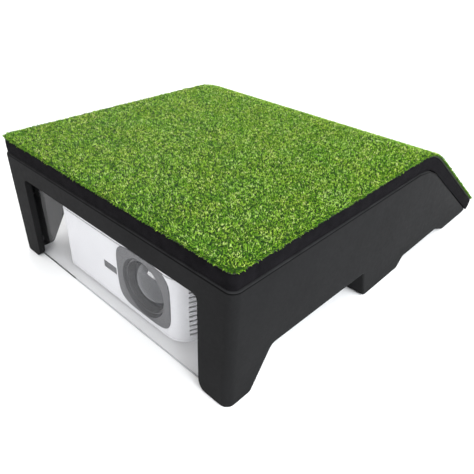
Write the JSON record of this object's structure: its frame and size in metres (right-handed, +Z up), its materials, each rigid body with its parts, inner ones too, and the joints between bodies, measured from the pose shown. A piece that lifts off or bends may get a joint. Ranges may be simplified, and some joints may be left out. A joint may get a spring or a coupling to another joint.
{
  "type": "golf simulator projector floor enclosure",
  "caption": "Black moulded floor cover with a turf-topped foam pad and a rear ramp, a clear front window and side arches, over a compact projector.",
  "frame": {"origin": "on the floor, in the middle of the whole object's footprint", "axes": "+X to the right seen from the window, +Y from the window towards the ramp, +Z up"},
  "size_m": [0.5578, 0.811, 0.233],
  "materials": {
    "black_moulding": "fine moulded texture, matte",
    "black_foam": "dense closed foam, matte",
    "turf_backing": "woven backing with latex, matte",
    "turf_pile": "short dense curled artificial grass",
    "clear_window": "clear polycarbonate, polished",
    "zinc_screw": "zinc plated",
    "white_case": "fine satin texture",
    "grey_surround": "satin",
    "grey_key": "satin",
    "dark_plastic": "satin",
    "lens_glass": "coated, polished",
    "rubber": "matte",
    "light_metal": "cast and stamped, satin",
    "socket_metal": "plated",
    "board": "solder mask"
  },
  "bodies": {
    "projector": {"projector_base": "white_case", "projector_housing": "white_case", "projector_top": "white_case", "vent_grille_right": "white_case", "vent_grille_left": "white_case", "keypad_board": "board", "case_screw_1": "zinc_screw", "case_screw_2": "zinc_screw", "case_screw_3": "zinc_screw", "case_screw_4": "zinc_screw", "rear_foot_left": "rubber", "rear_foot_right": "rubber", "ir_window": "dark_plastic", "lens_surround": "grey_surround", "lens_barrel": "dark_plastic", "lamp_module": "dark_plastic", "fan_frame": "dark_plastic", "connector_panel": "dark_plastic", "power_inlet": "dark_plastic", "light_engine": "light_metal", "power_supply": "light_metal", "main_board": "board", "hdmi_port_1": "socket_metal", "hdmi_port_2": "socket_metal", "usb_port": "socket_metal"},
    "enclosure": {"shell": "black_moulding", "impact_pad": "black_foam", "turf_backing": "turf_backing", "turf_pile": "turf_pile", "window_panel": "clear_window", "window_screw_1": "zinc_screw", "window_screw_2": "zinc_screw", "window_screw_3": "zinc_screw", "window_screw_4": "zinc_screw", "window_screw_5": "zinc_screw", "window_screw_6": "zinc_screw"},
    "focus": {"focus_ring": "dark_plastic", "front_lens": "lens_glass"},
    "zoom": {"zoom_ring": "dark_plastic"},
    "fan": {"fan_rotor": "dark_plastic"},
    "adjusting_foot": {"front_foot": "rubber"},
    "power_button_body": {"power_button": "grey_key"},
    "enter_button_body": {"enter_button": "grey_key"},
    "left_button_body": {"left_button": "grey_key"},
    "right_button_body": {"right_button": "grey_key"},
    "up_button_body": {"up_button": "grey_key"},
    "down_button_body": {"down_button": "grey_key"}
  },
  "joints": [
    {"name": "enclosure_lift", "type": "slide", "parent": "projector", "child": "enclosure", "axis": [0, 0, 1], "range_m": [0, 0.25]},
    {"name": "focus_turn", "type": "hinge", "parent": "projector", "child": "focus", "pos_m": [0.069, -0.36552, 0.0775], "axis": [0, -1, 0], "range_deg": [-45, 45]},
    {"name": "zoom_turn", "type": "hinge", "parent": "projector", "child": "zoom", "pos_m": [0.069, -0.34752, 0.0775], "axis": [0, -1, 0], "range_deg": [-20, 20]},
    {"name": "fan_spin", "type": "hinge", "parent": "projector", "child": "fan", "pos_m": [0.14, -0.26552, 0.078], "axis": [1, 0, 0], "continuous": true},
    {"name": "foot_height", "type": "slide", "parent": "projector", "child": "adjusting_foot", "axis": [0, 0, 1], "range_m": [0, 0.01]},
    {"name": "power_press", "type": "slide", "parent": "projector", "child": "power_button_body", "axis": [0, 0, -1], "range_m": [0, 0.0012], "stiffness_N_per_m": 600},
    {"name": "enter_press", "type": "slide", "parent": "projector", "child": "enter_button_body", "axis": [0, 0, -1], "range_m": [0, 0.0012], "stiffness_N_per_m": 600},
    {"name": "left_press", "type": "slide", "parent": "projector", "child": "left_button_body", "axis": [0, 0, -1], "range_m": [0, 0.0012], "stiffness_N_per_m": 600},
    {"name": "right_press", "type": "slide", "parent": "projector", "child": "right_button_body", "axis": [0, 0, -1], "range_m": [0, 0.0012], "stiffness_N_per_m": 600},
    {"name": "up_press", "type": "slide", "parent": "projector", "child": "up_button_body", "axis": [0, 0, -1], "range_m": [0, 0.0012], "stiffness_N_per_m": 600},
    {"name": "down_press", "type": "slide", "parent": "projector", "child": "down_button_body", "axis": [0, 0, -1], "range_m": [0, 0.0012], "stiffness_N_per_m": 600}
  ]
}
